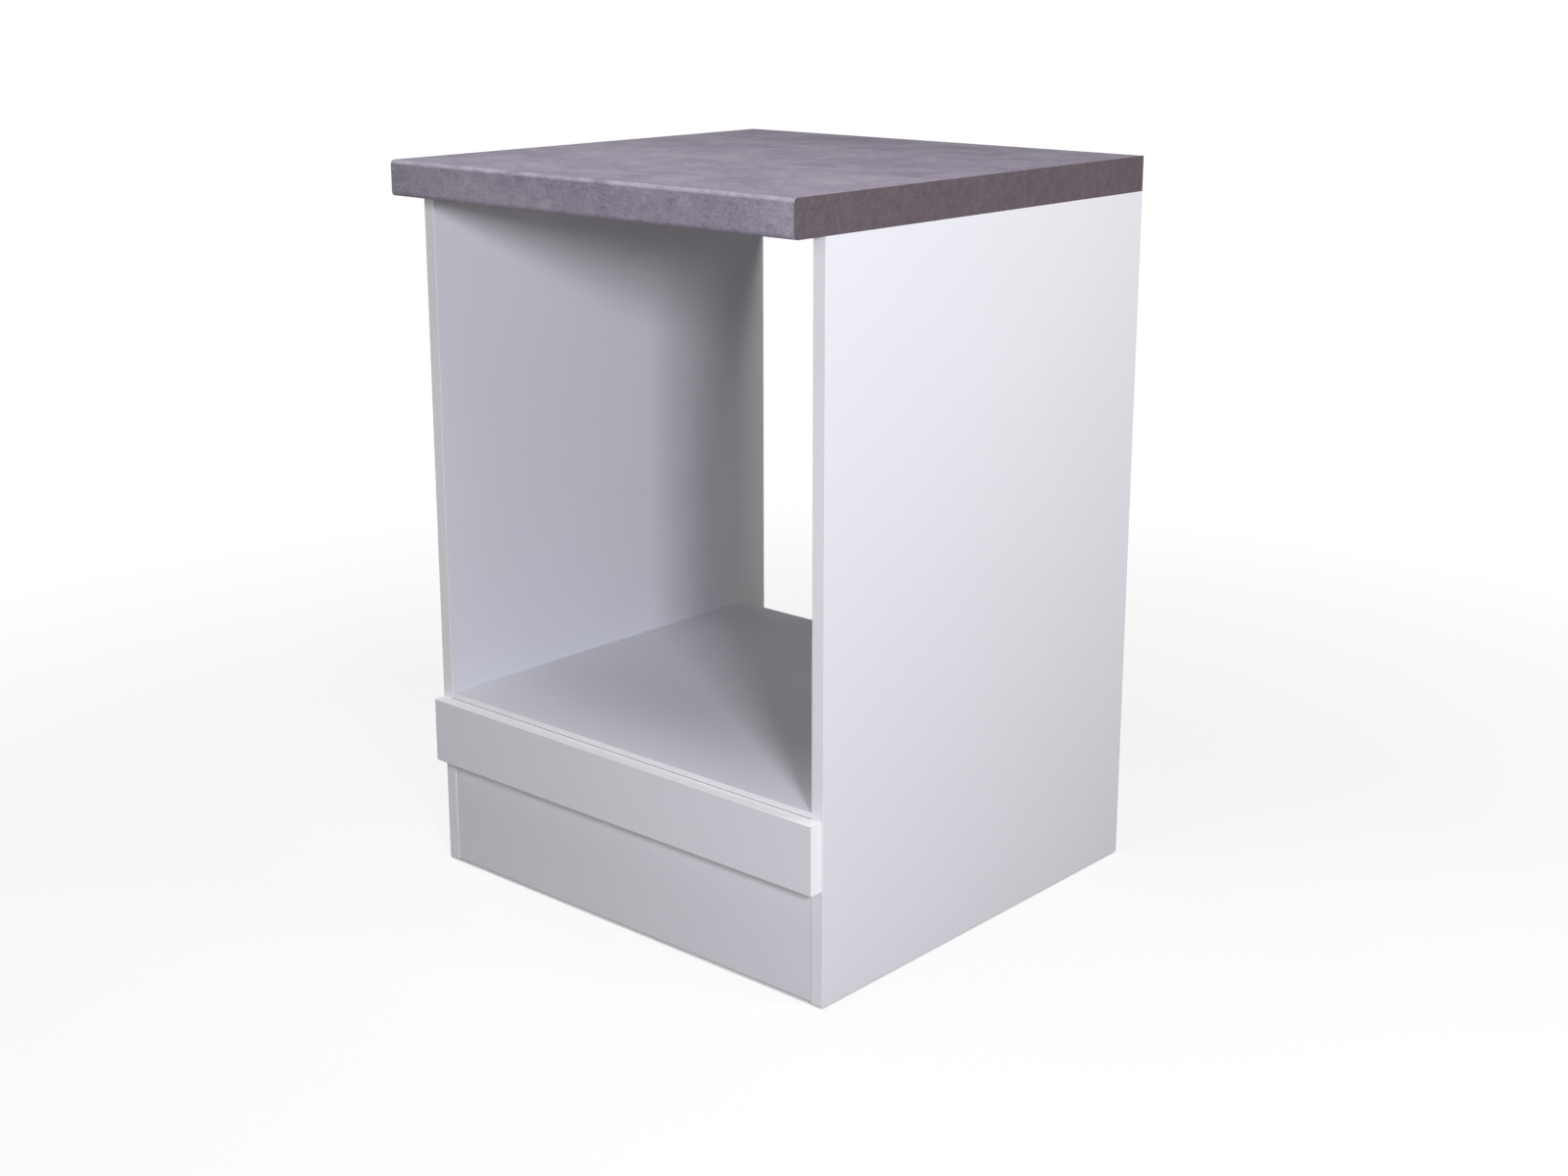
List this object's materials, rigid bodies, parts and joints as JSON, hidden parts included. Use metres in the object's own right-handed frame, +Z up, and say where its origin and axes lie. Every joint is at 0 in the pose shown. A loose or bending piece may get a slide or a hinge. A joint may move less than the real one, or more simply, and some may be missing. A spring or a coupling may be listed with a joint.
{
  "type": "oven base cabinet",
  "caption": "Open-fronted kitchen base unit with a worktop, a niche for a built-in oven, a fixed front strip and a plinth between floor-standing sides.",
  "frame": {"origin": "on the floor, below the middle of the worktop", "axes": "+Z up, -Y towards the open front where the oven goes in, +X to the right as seen from the front"},
  "size_m": [0.6, 0.6, 0.85],
  "materials": {
    "white_melamine_board": "satin white melamine facing on chipboard",
    "white_edge_band": "satin white plastic edge band",
    "worktop_laminate": "satin concrete-look laminate, grey with a violet cast",
    "worktop_end_band": "satin concrete-look laminate strip, darker and browner",
    "raw_chipboard": "bare chipboard",
    "backing_sheet": "matt backing laminate",
    "zinc_plated_steel": "bright zinc plating",
    "die_cast_zinc": "matt die-cast zinc",
    "beech": "bare beech",
    "glide_plastic": "matt white plastic"
  },
  "bodies": {
    "root": {"bottom_panel": "white_melamine_board", "bottom_panel_front_band": "white_edge_band", "bracket_screws": "zinc_plated_steel", "cam_bolts": "zinc_plated_steel", "cam_housings": "die_cast_zinc", "floor_glides": "glide_plastic", "front_strip": "white_melamine_board", "front_strip_bottom_band": "white_edge_band", "front_strip_left_band": "white_edge_band", "front_strip_right_band": "white_edge_band", "front_strip_top_band": "white_edge_band", "plinth_board": "white_melamine_board", "plinth_lower_band": "white_edge_band", "rear_rail": "white_melamine_board", "rear_rail_lower_band": "white_edge_band", "side_front_band_left": "white_edge_band", "side_front_band_right": "white_edge_band", "side_panel_left": "white_melamine_board", "side_panel_right": "white_melamine_board", "strip_screws": "zinc_plated_steel", "wooden_dowels": "beech", "worktop_backing_sheet": "backing_sheet", "worktop_bracket_front_left": "zinc_plated_steel", "worktop_bracket_front_right": "zinc_plated_steel", "worktop_bracket_rear_left": "zinc_plated_steel", "worktop_bracket_rear_right": "zinc_plated_steel", "worktop_core": "raw_chipboard", "worktop_end_band_left": "worktop_end_band", "worktop_end_band_right": "worktop_end_band", "worktop_laminate": "worktop_laminate"}
  },
  "joints": []
}
